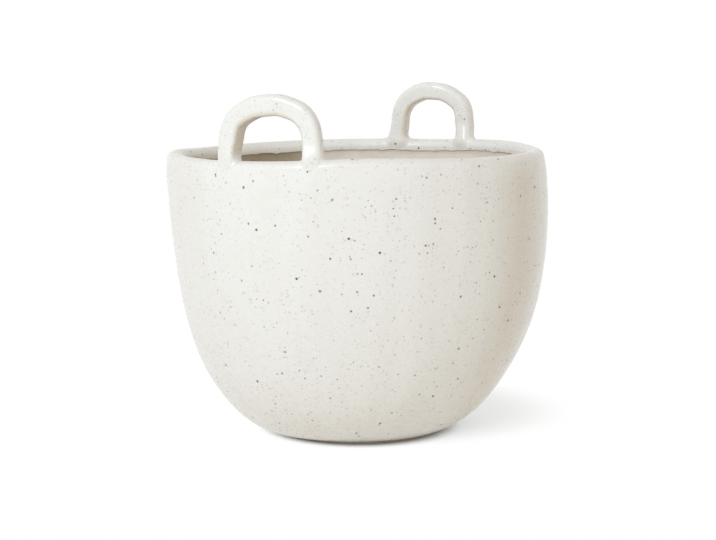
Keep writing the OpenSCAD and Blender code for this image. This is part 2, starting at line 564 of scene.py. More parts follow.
# Cosines of the turn from there at which the painted shade sets in and is full
SHADE_SIDE = (0.54, 0.74)
# Depth and strength of the dark line under the glaze's edge: partly toasted clay, partly painted
# shadow of the glaze's edge
TOAST_AND_SHADOW_DEPTH = 1.6 * MM
TOAST_AND_SHADOW = 0.6
# Depths under the clay's inner face between which the toasting and the painted shade end
DARKENING_SKIN = (2 * MM, 4 * MM)


def toast_and_shade(co):
    """How dark the clay is painted: a line under the glaze's edge, partly toasted clay and partly
    painted shadow, and painted shade on the inner side at the pot's left.
    """
    turn = turn_of(co)
    edge = RIM_Z - settings("shape").lap - glaze_wander(turn) * ROW + crest_wave(turn)
    depth = np.clip(edge - co[:, 2], 0, None)
    past = np.hypot(co[:, 0], co[:, 1]) - inner_radius(co[:, 2])
    within = 1 - passage(past, DARKENING_SKIN)
    side = passage(np.cos(turn - SHADE_TURN), SHADE_SIDE)
    return within * np.maximum(
        TOAST_AND_SHADOW * np.exp(-depth / TOAST_AND_SHADOW_DEPTH), side * np.exp(-depth / SHADE_DEPTH))


# Turn of the upright band of painted shade at the camera's right, and half its width
SHADE_BAND_TURN = math.radians(82)
SHADE_BAND_WIDTH = math.radians(10)
# How thin the glaze lies on the crest, and how strong the painted shade is in the band and on a
# loop's inner faces
CREST_THIN = 0.15
SHADE_BAND_STRENGTH = 1.6
LOOP_SHADE = 1.6
# Reach of the thin crest and of the thin lower edge, and how far below the rim the band of painted
# shade is full
CREST_REACH = 7 * MM
EDGE_REACH = 6 * MM
SHADE_BAND_BELOW = 20 * MM


def thin_glaze_and_shade(co):
    """How thin the glaze lies on the lip's crest and at its lower edge, with an upright band of
    painted shade added.
    """
    crest = 1 - ease(np.abs(co[:, 2] - RIM_Z) / CREST_REACH)
    edge = 1 - ease((co[:, 2] - GLAZE_Z) / EDGE_REACH)
    shade_band = np.exp(-((turn_of(co) - SHADE_BAND_TURN) / SHADE_BAND_WIDTH) ** 2)
    below = ease((RIM_Z - co[:, 2]) / SHADE_BAND_BELOW)
    return CREST_THIN * crest + edge + SHADE_BAND_STRENGTH * shade_band * below


# Materials


def add(tree, kind, sockets=None, **options):
    """Adds one shader node, sets its options, and sets or links its sockets."""
    made = tree.nodes.new("ShaderNode" + kind)
    for name, value in options.items():
        setattr(made, name, value)
    for name, value in (sockets or {}).items():
        if isinstance(value, bpy.types.NodeSocket):
            tree.links.new(value, made.inputs[name])
        else:
            made.inputs[name].default_value = value
    return made


def blend(tree, factor, first, second):
    """Mixes two colours, and gives the colour that comes out."""
    return add(tree, "Mix", {0: factor, 6: first, 7: second}, data_type="RGBA").outputs[2]


def maths(tree, kind, *values, clamp=False):
    """Takes one step of arithmetic, and gives the number that comes out."""
    sockets = dict(enumerate(values))
    return add(tree, "Math", sockets, operation=kind, use_clamp=clamp).outputs[0]


def vectors(tree, kind, sockets):
    """Takes one step of arithmetic on vectors, and gives the node's outputs."""
    return add(tree, "VectorMath", sockets, operation=kind).outputs


def spread(tree, value, low, high, to_low=0.0, to_high=1.0):
    """Stretches a range of a number to another range, with smooth ends."""
    sockets = {
        "Value": value, "From Min": low, "From Max": high, "To Min": to_low, "To Max": to_high}
    return add(tree, "MapRange", sockets, interpolation_type="SMOOTHSTEP").outputs["Result"]


def noise(tree, vector, scale, detail=2.0, rough=0.5):
    """Value of a soft noise, with its scale in waves per metre."""
    sockets = {"Vector": vector, "Scale": scale, "Detail": detail, "Roughness": rough}
    return add(tree, "TexNoise", sockets).outputs["Fac"]


def weighed(tree, *parts):
    """Sum of some masks, each by its weight, held between 0 and 1."""
    total = 0.0
    for mask, weight in parts:
        total = maths(tree, "MULTIPLY_ADD", mask, weight, total, clamp=True)
    return total


def colour(values):
    """A colour setting with its alpha."""
    return (*values, 1.0)


def new_group(name, inputs, outputs):
    """A shader node group for a vector and some numbers: its tree, its input and its end."""
    tree = bpy.data.node_groups.new(name, "ShaderNodeTree")
    tree.interface.new_socket("Vector", in_out="INPUT", socket_type="NodeSocketVector")
    for socket, value in inputs.items():
        made = tree.interface.new_socket(
            socket, in_out="INPUT", socket_type="NodeSocketFloat")
        made.default_value = value
    for socket in outputs:
        tree.interface.new_socket(socket, in_out="OUTPUT", socket_type="NodeSocketFloat")
    return tree, tree.nodes.new("NodeGroupInput").outputs, tree.nodes.new("NodeGroupOutput")


def specks_group():
    """Scattered round specks of random size: a mask, and a random tone for each speck."""
    name = "Scattered specks"
    if name in bpy.data.node_groups:
        return bpy.data.node_groups[name]
    tree, given, result = new_group(
        name,
        {"Spacing": 6 * MM, "Share": 0.3, "Smallest": 0.2 * MM, "Largest": 0.6 * MM,
         "Softness": 0.3},
        ("Mask", "Tone"))
    rough = add(tree, "TexNoise", {"Vector": given["Vector"], "Scale": 1100.0, "Detail": 1.0})
    centred = vectors(tree, "SUBTRACT", {0: rough.outputs["Color"], 1: (0.5, 0.5, 0.5)})[0]
    wobble = vectors(tree, "SCALE", {0: centred, "Scale": 0.3 * MM})[0]
    moved = vectors(tree, "ADD", {0: given["Vector"], 1: wobble})[0]
    per_metre = maths(tree, "DIVIDE", 1.0, given["Spacing"])
    scaled = vectors(tree, "SCALE", {0: moved, "Scale": per_metre})[0]
    cells = add(tree, "TexVoronoi", {
        "Vector": scaled, "Scale": 1.0, "Randomness": 1.0},
        voronoi_dimensions="3D", feature="F1").outputs
    chance = add(tree, "SeparateColor", {"Color": cells["Color"]}).outputs
    distance = maths(tree, "MULTIPLY", cells["Distance"], given["Spacing"])
    bias = maths(tree, "POWER", chance["Red"], 1.4)
    radius = spread(tree, bias, 0.0, 1.0, given["Smallest"], given["Largest"])
    firm = maths(tree, "SUBTRACT", 1.0, given["Softness"])
    core = maths(tree, "MULTIPLY", radius, firm)
    inside = spread(tree, distance, core, radius, 1.0, 0.0)
    there = maths(tree, "LESS_THAN", chance["Green"], given["Share"])
    tree.links.new(maths(tree, "MULTIPLY", inside, there), result.inputs["Mask"])
    tree.links.new(chance["Blue"], result.inputs["Tone"])
    return tree


def specks(tree, vector, spacing, share, smallest, largest, softness):
    """Makes a layer of specks from sizes in millimetres, and gives its mask and its tone."""
    return add(tree, "Group", {
        "Vector": vector, "Spacing": spacing * MM, "Share": share, "Smallest": smallest * MM,
        "Largest": largest * MM, "Softness": softness}, node_tree=specks_group()).outputs


def speckled(tree, base, layer, strength, tint):
    """Lays a layer of specks over a colour, and gives the colour that comes out."""
    return blend(tree, maths(tree, "MULTIPLY", layer["Mask"], strength), base, tint)


def grain_group():
    """Fine unevenness of a fired surface, as a height: slow swells, grain and pinholes."""
    name = "Fired surface"
    if name in bpy.data.node_groups:
        return bpy.data.node_groups[name]
    tree, given, result = new_group(
        name, {"Swell": 1.0, "Grain": 1.0, "Pinholes": 1.0}, ("Height",))
    vector = given["Vector"]
    swell = maths(tree, "MULTIPLY", noise(tree, vector, 70.0), given["Swell"])
    grain = maths(tree, "MULTIPLY", noise(tree, vector, 1300.0, detail=3.0), given["Grain"])
    holes = specks(
        tree, vector, spacing=5.5, share=0.3, smallest=0.15, largest=0.4, softness=0.8)
    pits = maths(tree, "MULTIPLY", holes["Mask"], given["Pinholes"])
    total = maths(tree, "SUBTRACT", maths(tree, "ADD", swell, grain), pits)
    tree.links.new(total, result.inputs["Height"])
    return tree


def relief(tree, vector, strength, distance, swell, grain, pinholes):
    """Makes the fine relief of a fired surface, and gives its normal."""
    height = add(tree, "Group", {
        "Vector": vector, "Swell": swell, "Grain": grain, "Pinholes": pinholes},
        node_tree=grain_group()).outputs["Height"]
    return add(tree, "Bump", {
        "Strength": strength, "Distance": distance, "Height": height}).outputs["Normal"]


def empty_material(name):
    """A new material and its tree, with no nodes yet."""
    material = bpy.data.materials.new(name)
    material.use_nodes = True
    material.node_tree.nodes.clear()
    return material, material.node_tree


def fired(tree, base, roughness, normal):
    """The shader of a fired surface, as the material's output."""
    shader = add(tree, "BsdfPrincipled", {
        "Base Color": base, "Roughness": roughness, "Normal": normal})
    add(tree, "OutputMaterial", {"Surface": shader.outputs["BSDF"]})


def glaze_material():
    """Off-white satin glaze with iron specks, warmer where it lies thin and where shade is painted.
    """
    name = "Glaze with iron specks"
    if name in bpy.data.materials:
        return bpy.data.materials[name]
    c = settings("colours")
    iron, faint_iron = colour(c.speck), colour(c.faint_speck)
    material, tree = empty_material(name)
    vector = add(tree, "TexCoord").outputs["Object"]
    height = add(tree, "SeparateXYZ", {"Vector": vector}).outputs["Z"]
    upright = add(tree, "Mapping", {"Vector": vector, "Scale": (1, 1, 0.3)}).outputs[0]
    # Mask of thin glaze, with painted shade added in an upright band and on the loops' faces towards
    # their openings
    thin_and_shade = add(tree, "Attribute", attribute_name="thin_and_shade").outputs["Fac"]
    streaks = spread(tree, noise(tree, upright, 42.0, detail=3.0), 0.35, 0.75)
    cloud = spread(tree, noise(tree, vector, 420.0, detail=4.0, rough=0.7), 0.3, 0.75)
    # Warmer towards the foot: partly thinner glaze, partly painted shade low on the side
    near_foot = spread(tree, height, 4 * MM, 60 * MM, 1.0, 0.0)
    warmth = weighed(tree, (streaks, 0.16), (cloud, 0.24), (near_foot, 0.3), (thin_and_shade, 0.5))
    base = blend(tree, warmth, colour(c.glaze), colour(c.thin_glaze_and_shade))
    # Specks lie more crowded towards the foot
    crowd = spread(tree, height, 20 * MM, 140 * MM, 1.6, 1.0)
    share = maths(tree, "MULTIPLY", crowd, 0.5)
    faint = specks(
        tree, vector, spacing=2.4, share=share, smallest=0.7, largest=1.4, softness=0.85)
    strength = spread(tree, faint["Tone"], 0.0, 1.0, 0.05, 0.38)
    base = speckled(tree, base, faint, strength, faint_iron)
    dust = specks(
        tree, vector, spacing=1.8, share=0.34, smallest=0.15, largest=0.35, softness=0.6)
    base = speckled(tree, base, dust, 0.25, faint_iron)
    share = maths(tree, "MULTIPLY", crowd, 0.28)
    small = specks(
        tree, vector, spacing=3.4, share=share, smallest=0.6, largest=1.15, softness=0.65)
    strength = spread(tree, small["Tone"], 0.1, 0.95, 0.20, 0.62)
    tint = blend(tree, small["Tone"], faint_iron, iron)
    base = speckled(tree, base, small, strength, tint)
    large = specks(
        tree, vector, spacing=5.0, share=0.2, smallest=0.6, largest=1.25, softness=0.4)
    strength = spread(tree, large["Tone"], 0.0, 0.9, 0.65, 0.96)
    base = speckled(tree, base, large, strength, iron)
    gloss = spread(tree, noise(tree, vector, 90.0, detail=3.0), 0.3, 0.7, 0.2, 0.3)
    gloss = maths(tree, "MULTIPLY_ADD", large["Mask"], 0.2, gloss)
    normal = relief(
        tree, vector, strength=0.5, distance=0.5 * MM, swell=1.0, grain=0.05, pinholes=0.12)
    fired(tree, base, gloss, normal)
    return material


def clay_material():
    """Bare fired clay: matte, sandy, toasted brown beside the glaze with painted shadow there,
    painted shade inside at the pot's left and on the foot, with dark grog.
    """
    name = "Fired bare clay"
    if name in bpy.data.materials:
        return bpy.data.materials[name]
    c = settings("colours")
    material, tree = empty_material(name)
    vector = add(tree, "TexCoord").outputs["Object"]
    level = add(tree, "Mapping", {"Vector": vector, "Scale": (0.35, 0.35, 1)}).outputs[0]
    # Mask of the toasted line with its painted shadow, and of the painted shade inside at the pot's
    # left and on the foot
    toast_and_shade_mask = add(tree, "Attribute", attribute_name="toast_and_shade").outputs["Fac"]
    cloud = spread(tree, noise(tree, vector, 35.0, detail=4.0, rough=0.6), 0.35, 0.75)
    bands = spread(tree, noise(tree, level, 160.0), 0.35, 0.7)
    dark = weighed(tree, (cloud, 0.14), (bands, 0.08), (toast_and_shade_mask, 0.85))
    base = blend(tree, dark, colour(c.clay), colour(c.dark_clay))
    sand = specks(
        tree, vector, spacing=1.9, share=0.4, smallest=0.12, largest=0.35, softness=0.7)
    base = speckled(tree, base, sand, 0.35, colour(c.dark_clay))
    grog = specks(
        tree, vector, spacing=6.0, share=0.28, smallest=0.3, largest=0.75, softness=0.4)
    base = speckled(tree, base, grog, 0.7, colour(c.speck))
    dull = spread(tree, noise(tree, vector, 220.0), 0.3, 0.7, 0.72, 0.88)
    normal = relief(
        tree, level, strength=0.8, distance=0.6 * MM, swell=0.5, grain=0.35, pinholes=0.3)
    fired(tree, base, dull, normal)
    return material


# The material of each of the frame's slots
MATERIALS = {"bare_clay": clay_material, "speckled_glaze": glaze_material}


# Pieces of the body

# How far the foot ring is darkened as painted shade under the pot, and the radius of its worn edges
# and of the glaze's
FOOT_SHADE = 0.5
WORN_EDGE = 0.6 * MM
GLAZE_EDGE = 0.4 * MM
# Width and half the depth of the rings that a finger left on the floor, and the floor's hub
RING_WIDTH = 10 * MM
RING_DEPTH = 0.3 * MM
HUB_R = 2 * MM
# Width past the foot over which the wall's finger dents set in
DENT_WIDTH = 25 * MM
# Rows of the glaze's outline past its edge, for its drips, and rows over which it wanders
DRIP_ROWS = 5
WANDER_ROWS = 6


def make_foot():
    """The bare ring that the pot stands on, with soft worn edges."""
    width = settings("shape").foot_width
    bm = drum(int(FOOT_Z / ROW), width, FOOT_TURNS)
    for radius in (DRUM_R, DRUM_R - width):
        round_edges(bm, radius, 0, WORN_EDGE)
    lay(bm, lambda turn, row, depth: ring_points(turn, FOOT_R - depth, row * ROW))
    # The whole foot ring takes the toasted colour as painted shade under the pot
    finish_piece(
        bm, "clay_foot", "bare_clay", ["foot_ring"],
        {"toast_and_shade": lambda co: np.full(len(co), FOOT_SHADE)})


def make_floor():
    """The slab that closes the bottom, with the rings that a finger leaves on its top."""
    corners = [(HUB_R, FOOT_Z), (FOOT_R, FOOT_Z), (FOOT_R, FLOOR_Z), (HUB_R, FLOOR_Z)]
    bm = spun(corners, False, [((0,), 5), ((2,), 59)], FOOT_TURNS)
    rims = [edge for edge in bm.edges if edge.is_boundary]
    hubs = bmesh.ops.holes_fill(bm, edges=rims, sides=0)["faces"]
    bmesh.ops.poke(bm, faces=hubs)
    for vert in bm.verts:
        radius = math.hypot(*vert.co.xy)
        if vert.co.z > FLOOR_Z - ROW and radius < FOOT_R - ROW:
            turn = math.atan2(vert.co.y, vert.co.x)
            fade = float(ease((FOOT_R - radius) / RING_WIDTH))
            wave = 1 + math.cos(2 * math.pi * radius / RING_WIDTH + turn)
            vert.co.z -= RING_DEPTH * fade * wave
    finish_piece(bm, "clay_floor", "bare_clay", ["floor_slab"])


def make_wall():
    """The clay wall from the slab's edge to the seam under the lip."""
    bare = GLAZE_Z - FOOT_Z
    base = line((FOOT_R, FOOT_Z), (clay_radius(GLAZE_Z) - bare, FOOT_Z), count=4)
    outer = np.concatenate([base, along_side(clay_radius, GLAZE_Z, SEAM_Z, count=100)])
    inside = along_side(inner_radius, FLOOR_Z, SEAM_Z, count=400)
    edge = line((FOOT_R, FLOOR_Z), inside[0], count=10)
    inner = softened(evenly(np.concatenate([edge, inside]), len(outer)), passes=6)
    bm = drum(len(outer) - 1, ROW, CLAY_TURNS)

    def place(turn, row, depth):
        across = depth / ROW
        radius, height = on_outline(outer, inner, row, across)
        away = ease((radius - FOOT_R) / DENT_WIDTH)
        dents = across * away * finger_dents(turn, height)
        return handmade(ring_points(turn, radius - dents, height))

    lay(bm, place)
    # The wall's inner face carries the toasted line with its painted shadow, and the painted shade
    # at the pot's left
    finish_piece(bm, "clay_wall", "bare_clay", ["wall"], {"toast_and_shade": toast_and_shade})


def make_lip():
    """The clay coil of the rounded lip, toasted and painted with shadow where the glaze ends, and
    painted with shade inside at the pot's left.
    """
    outer = np.concatenate([
        along_side(clay_radius, SEAM_Z, lip_height(), count=14)[:-1],
        crest_arc(settings("shape").lip / 2 - GLAZE_T, count=20),
        along_side(inner_radius, SEAM_Z, lip_height(), count=24)[::-1][1:],
    ])
    inner = np.concatenate([line(outer[0], outer[-1], len(outer) - 1), outer[-1:]])
    bm = drum(len(outer) - 1, ROW, CLAY_TURNS)

    def place(turn, row, depth):
        across = depth / ROW
        radius, height = on_outline(outer, inner, row, across)
        within = (row > len(outer) / 2) * (across < 0.5)
        return handmade(ring_points(
            turn, radius - within * finger_dents(turn, height), height))

    lay(bm, place)
    finish_piece(bm, "clay_lip", "bare_clay", ["lip_coil"], {"toast_and_shade": toast_and_shade})


def make_body_glaze():
    """The glaze coat of the body, over the lip and down to its wandering inner edge."""
    s = settings("shape")
    lap_rows = round((s.lap - s.lip / 2) / ROW)
    side = along_side(side_radius, GLAZE_Z, lip_height(), count=118)
    arc = crest_arc(s.lip / 2, count=26)
    heights = lip_height() - ROW * np.arange(1, lap_rows + DRIP_ROWS)
    within = np.stack([inner_radius(heights) - GLAZE_T, heights], 1)
    outer = np.concatenate([side[:-1], arc, within])
    inner = offset(outer, GLAZE_T)
    last = len(side) + len(arc) - 2 + lap_rows
    bm = drum(last, GLAZE_T, GLAZE_TURNS)
    for height in (0, last * ROW):
        round_edges(bm, DRUM_R, height, GLAZE_EDGE)

    def place(turn, row, depth):
        row = row + glaze_wander(turn) * ease((row - last + WANDER_ROWS) / WANDER_ROWS)
        radius, height = on_outline(outer, inner, row, depth / GLAZE_T)
        return handmade(ring_points(turn, radius, height))

    lay(bm, place)
    # The glaze coat carries the thin-glaze mask with its upright band of painted shade
    finish_piece(
        bm, "glaze_coat", "speckled_glaze", ["body_glaze"], {"thin_and_shade": thin_glaze_and_shade})


# Handles

# Points round a strap's section, and rings of them: under a leg's skirt, on it, at the leg's
# foot, and along the loop between its feet
SECTION = 48
UNDER = 2
SKIRT = 12
FOOT_RINGS = 8
LOOP_RINGS = 80
# Points along a loop's centre line; before they are spaced evenly, on its arch and on each
# leg; and passes that soften the line
LINE_POINTS = 240
ARCH_POINTS = 200
LEG_POINTS = 20
LINE_PASSES = 30
# Steps that settle a loop's points on its skin, the length over which its slope is measured,
# and the least square of a slope
SETTLE_STEPS = 12
SLOPE_STEP = 0.02 * MM
LEAST_SLOPE = 0.1
# How square a strap's section is before it settles: 2 is round, more is squarer
SECTION_SQUARE = 4.5
# How far a leg's centre line runs down below the crest
LEG_DOWN = 6 * MM
# Heights above the crest: where a leg widens into its foot, and where it is past its lean,
# free to wander, and clear of the lip's curve
FOOT_TOP = 9 * MM
LEAN_TOP = 14 * MM
FREE_TOP = 16 * MM
CLEAR_TOP = 18 * MM
# A leg fades into the lip from this far below the start of the lip's round top to this far
# above it, at the leg's inner and at its outer face
FADE_BELOW = (3 * MM, 6 * MM)
FADE_ABOVE = (6 * MM, 8 * MM)
# Width over which a leg's inner face passes into its outer one
FACE_WIDTH = 5 * MM
# Share of the smear that is lost at a leg's outer face, and the least smear anywhere
FLUSH_SHARE = 0.85
LEAST_SMEAR = 0.1 * MM
# How far a leg's faded end lies within the lip, and a skirt's edge under the body's glaze
END_INSET = 0.3 * MM
SUNK = 0.05 * MM
# How far a skirt reaches past its smear, and down inside past the lip's round top, and how
# its rings crowd: 1 is even, more crowds them towards the leg
SKIRT_REACH = 3 * MM
SKIRT_DOWN = 1 * MM
SKIRT_CROWDING = 1.2
# How a skirt's hidden underside is set in, drawn in at its end, and set down in the lip
UNDER_IN = 1.5 * MM
UNDER_END = 3 * MM
UNDER_DEPTH = 2 * MM
# A loop's painted shade on its faces towards the opening sets in over this height above the crest,
# and between these shares of the way from its centre line to its inner face
THIN_TOP = 6 * MM
THIN_FROM = (0.6, 0.95)


class Loop:
    """One handle laid out straight: x runs along the lip, v away from the pot's middle."""

    def __init__(self, name):
        h = settings("handle")
        own = list(HANDLES).index(name)
        low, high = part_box(name + "_handle_glaze")
        self.turn = HANDLES[name]
        self.leg, self.leg_thick, self.square = h.leg[own], h.thick[own], h.square[own]
        self.shift, self.taper, self.foot = h.shift[own], h.taper[own], h.foot[own]
        self.blend = h.blend[own]
        swell = h.swell[own]
        self.half = (high.x - low.x - self.leg_thick) / 2
        self.arch = high.z - h.sag[own] - (self.leg_thick + swell) / 2 - RIM_Z - self.leg
        self.line = self.centre_line()
        x, z = self.line.T
        rise = ease((z - RIM_Z - self.leg) / self.arch)
        rise *= np.exp(-((x - h.swell_at[own]) / h.swell_width) ** 2)
        self.thick = self.leg_thick + swell * rise + h.bias[own] * x / self.half
        self.tangent = np.gradient(self.line, axis=0)
        self.tangent /= np.linalg.norm(self.tangent, axis=1)[:, None]
        self.normal = np.stack([-self.tangent[:, 1], self.tangent[:, 0]], 1)

    def centre_line(self):
        """Points (x, z) from the left foot over the arch to the right foot."""
        power = 2 / self.square
        angle = np.linspace(math.pi, 0, ARCH_POINTS)
        across, up = np.cos(angle), np.sin(angle)
        arch = np.stack([
            self.half * np.sign(across) * np.abs(across) ** power,
            RIM_Z + self.leg + self.arch * np.abs(up) ** power], 1)
        left, right = (
            line((side, RIM_Z - LEG_DOWN), (side, RIM_Z + self.leg), LEG_POINTS)
            for side in (-self.half, self.half))
        corners = evenly(np.concatenate([left, arch, right[::-1]]), LINE_POINTS)
        loop = evenly(softened(corners, LINE_PASSES), LINE_POINTS)
        free = ease((loop[:, 1] - RIM_Z) / FREE_TOP)
        place = np.linspace(0, 2 * math.pi, LINE_POINTS)
        wander = settings("handle").uneven * free
        loop[:, 0] *= 1 + (self.foot * (1 - free) - self.taper * free) / self.half
        loop[:, 0] += self.shift + wander * ripple(place, (2, 3, 5), seed=21)
        loop[:, 1] += wander * ripple(place, (2, 4, 7), seed=22)
        return loop

    def section(self, angle, grow=0.0):
        """Point on the strap's section: out from the loop's middle, and along its depth."""
        power = 2 / SECTION_SQUARE
        return [
            size / 2 * np.sign(way) * np.abs(way) ** power + grow * way
            for size, way in (
                (self.leg_thick, np.cos(angle)), (settings("handle").deep, np.sin(angle)))]

    def on_loop(self, place, angle):
        """Points on the strap at a place along its centre line, counted in its points."""
        out, deep = self.section(angle)
        marks = np.arange(LINE_POINTS)
        mid = [np.interp(place, marks, self.line[:, axis]) for axis in (0, 1)]
        way = [np.interp(place, marks, self.normal[:, axis]) for axis in (0, 1)]
        return np.stack([mid[0] + out * way[0], deep, mid[1] + out * way[1]], 1)

    def on_lip(self, side, angle, grow, depth):
        """Points round a leg on the lip's skin, a little way out from the leg and sunk in it."""
        radius = settings("shape").lip / 2
        out, deep = self.section(angle, grow)
        # The skirt stays above the glaze's edge inside
        deep = np.maximum(deep, -radius * math.pi / 2 - SKIRT_DOWN)
        x = self.shift + side * (self.half + self.foot + out)
        turn = np.clip(deep / radius, -math.pi / 2, math.pi / 2)
        past = np.clip(np.abs(deep) - radius * math.pi / 2, 0, None)
        return np.stack([
            x, (radius - depth) * np.sin(turn),
            lip_height() + (radius - depth) * np.cos(turn) - past], 1)

    def skin(self, points):
        """How far points lie outside the leg and the lip, run smoothly into each other."""
        h = settings("handle")
        x, v, z = points.T
        radius = settings("shape").lip / 2
        face = side_radius(z) - side_radius(lip_height())
        lip = SUNK + np.where(
            z > lip_height(), np.hypot(v, z - lip_height()) - radius,
            np.maximum(v - radius - face, -radius - v))
        gap = (x[:, None] - self.line[:, 0]) ** 2 + (z[:, None] - self.line[:, 1]) ** 2
        near = np.argmin(gap, 1)
        apart = np.stack([x, z], 1) - self.line[near]
        aside = (apart * self.normal[near]).sum(1)
        edge = np.where(aside > 0, h.outer_edge, h.edge)
        out = np.abs(aside) - self.thick[near] / 2 + edge
        past = np.abs((apart * self.tangent[near]).sum(1))
        past = np.where((near == 0) | (near == LINE_POINTS - 1), past, 0)
        outer = ease(v / FACE_WIDTH)
        below, above = (
            inside + (outside - inside) * outer for inside, outside in (FADE_BELOW, FADE_ABOVE))
        faded = ease((z - lip_height() + below) / (below + above))
        inset = (h.deep / 2 - radius + END_INSET) * (1 - faded)
        # Each leg at the camera's right leans away from the camera
        way = math.cos(self.turn)
        v = v + way * h.lean * ease(way * x / self.half) * ease((z - RIM_Z) / LEAN_TOP)
        deep = np.abs(v) - h.deep / 2 + edge + inset
        strap = np.linalg.norm(np.maximum([out, deep, past], 0), axis=0) - edge
        strap = strap + np.minimum(np.maximum(out, deep), 0)
        flush = 1 - FLUSH_SHARE * passage(v, (h.deep / 4, h.deep / 2))
        smear = np.maximum(self.blend * faded * flush, LEAST_SMEAR)
        # The lesser of both distances, with a cubic passage as wide as the smear
        mix = np.maximum(smear - np.abs(lip - strap), 0) / smear
        return np.minimum(lip, strap) - mix ** 3 * smear / 6

    def thin_and_shade(self, co):
        """How thin the glaze lies on the loop, with painted shade added on the faces towards its
        opening.
        """
        place = np.stack([math.cos(self.turn) * co[:, 0], co[:, 2]], 1)
        gap = ((place[:, None] - self.line) ** 2).sum(2)
        near = np.argmin(gap, 1)
        inward = -((place - self.line[near]) * self.normal[near]).sum(1)
        inside = passage(2 * inward / self.thick[near], THIN_FROM)
        return thin_glaze_and_shade(co) + LOOP_SHADE * inside * ease((co[:, 2] - RIM_Z) / THIN_TOP)

    def settle(self, points):
        """Moves points square onto the skin, a step at a time."""
        for _ in range(SETTLE_STEPS):
            slope = np.stack([
                self.skin(points + step) - self.skin(points - step)
                for step in SLOPE_STEP * np.eye(3)], 1) / (2 * SLOPE_STEP)
            steep = np.maximum((slope ** 2).sum(1), LEAST_SLOPE)
            points = points - (self.skin(points) / steep)[:, None] * slope
        return points

    def bend(self, points):
        """Bends a straight loop round the lip, and sets it on its side of the pot."""
        h = settings("handle")
        x, v, z = points.T
        middle = lip_middle()
        turn = x / middle
        bulge = middle * (np.cos(turn) - math.cos(self.half / middle))
        rise = ease((z - RIM_Z) / CLEAR_TOP)
        facing = turn * (1 - h.untwist * rise)
        across = middle * np.sin(turn) + v * np.sin(facing)
        out = middle * np.cos(turn) + v * np.cos(facing) - h.straight * bulge * rise
        way = math.cos(self.turn)
        return handmade(np.stack([way * across, -way * out, z], 1))


def strap_bar(rings):
    """A straight bar of rings, with both ends open."""
    bm = bmesh.new()
    bmesh.ops.create_circle(bm, segments=SECTION, radius=DRUM_R, cap_ends=False)
    started = bmesh.ops.extrude_edge_only(bm, edges=bm.edges[:])["geom"]
    moved = [item for item in started if isinstance(item, bmesh.types.BMVert)]
    bmesh.ops.translate(bm, verts=moved, vec=(0, 0, (rings - 1) * ROW))
    upright = [edge for edge in bm.edges if abs(edge.verts[0].co.z - edge.verts[1].co.z) > ROW]
    bmesh.ops.subdivide_edges(bm, edges=upright, cuts=rings - 2, use_grid_fill=True)
    return bm


def make_handle(name):
    """One loop: a bar of rings, laid on its loop and run out into the lip."""
    loop = Loop(name)
    end = UNDER + SKIRT + FOOT_RINGS
    rings = 2 * end + LOOP_RINGS
    bm = strap_bar(rings)
    co = np.array([vert.co[:] for vert in bm.verts])
    angle = np.arctan2(co[:, 1], co[:, 0])
    ring = np.rint(co[:, 2] / ROW).astype(int)
    side = np.where(ring < rings / 2, -1, 1)
    step = np.minimum(ring, rings - 1 - ring)

    half = LINE_POINTS // 2
    top = np.interp(RIM_Z + FOOT_TOP, loop.line[:half, 1], np.arange(half))
    share = np.clip((ring - end) / (LOOP_RINGS - 1), 0, 1)
    strap = loop.on_loop(top + share * (LINE_POINTS - 1 - 2 * top), angle)
    reach = loop.blend + SKIRT_REACH
    out_share = np.clip((end - FOOT_RINGS - step) / SKIRT, 0, 1)
    on_lip = loop.on_lip(side, angle, reach * out_share ** SKIRT_CROWDING, SUNK)
    foot_share = np.clip((end - step) / FOOT_RINGS, 0, 1)[:, None]
    points = strap * (1 - foot_share) + on_lip * foot_share
    free = step >= UNDER
    points[free] = loop.settle(points[free])
    grow = np.where(step == 0, -UNDER_END, reach - UNDER_IN)
    under = loop.on_lip(side, angle, grow, UNDER_DEPTH)
    points = np.where(free[:, None], points, under)
    for vert, point in zip(bm.verts, loop.bend(points)):
        vert.co = point
    ends = [edge for edge in bm.edges if edge.is_boundary]
    caps = bmesh.ops.holes_fill(bm, edges=ends, sides=0)["faces"]
    bmesh.ops.poke(bm, faces=caps)
    # The loop carries the thin-glaze mask with painted shade towards its opening
    finish_piece(
        bm, name + "_loop", "speckled_glaze",
        [name + "_handle", name + "_handle_glaze", name + "_handle_fillets"],
        {"thin_and_shade": loop.thin_and_shade})


# Studio

# Middle of the lit floor, right of the pot's middle and behind it, and where it turns white
SHADOW_AT = (40 * MM, 60 * MM)
SHADOW_FADE = (70 * MM, 140 * MM)
# Width of the floor past the foot over which the lift sets in
CONTACT_WIDTH = 20 * MM
# Heights over the horizon between which the light above takes over
ABOVE_FROM = math.radians(35)
ABOVE_TO = math.radians(70)
# The key lamp's direction, as right, towards the camera and up, its distance and its size
KEY_WAY = (-0.45, 0.67, 0.59)
KEY_DISTANCE = 4.0
KEY_SIZE = 1.3
# Size of the floor, from its middle to its edge
FLOOR_SIZE = 6.0


def seen_ray(tree):
    """1 for what the camera sees, straight or in a shiny surface, and 0 for plain light."""
    ray = add(tree, "LightPath").outputs
    shiny = maths(tree, "MAXIMUM", ray["Is Glossy Ray"], ray["Is Transmission Ray"])
    return maths(tree, "MAXIMUM", ray["Is Camera Ray"], shiny)


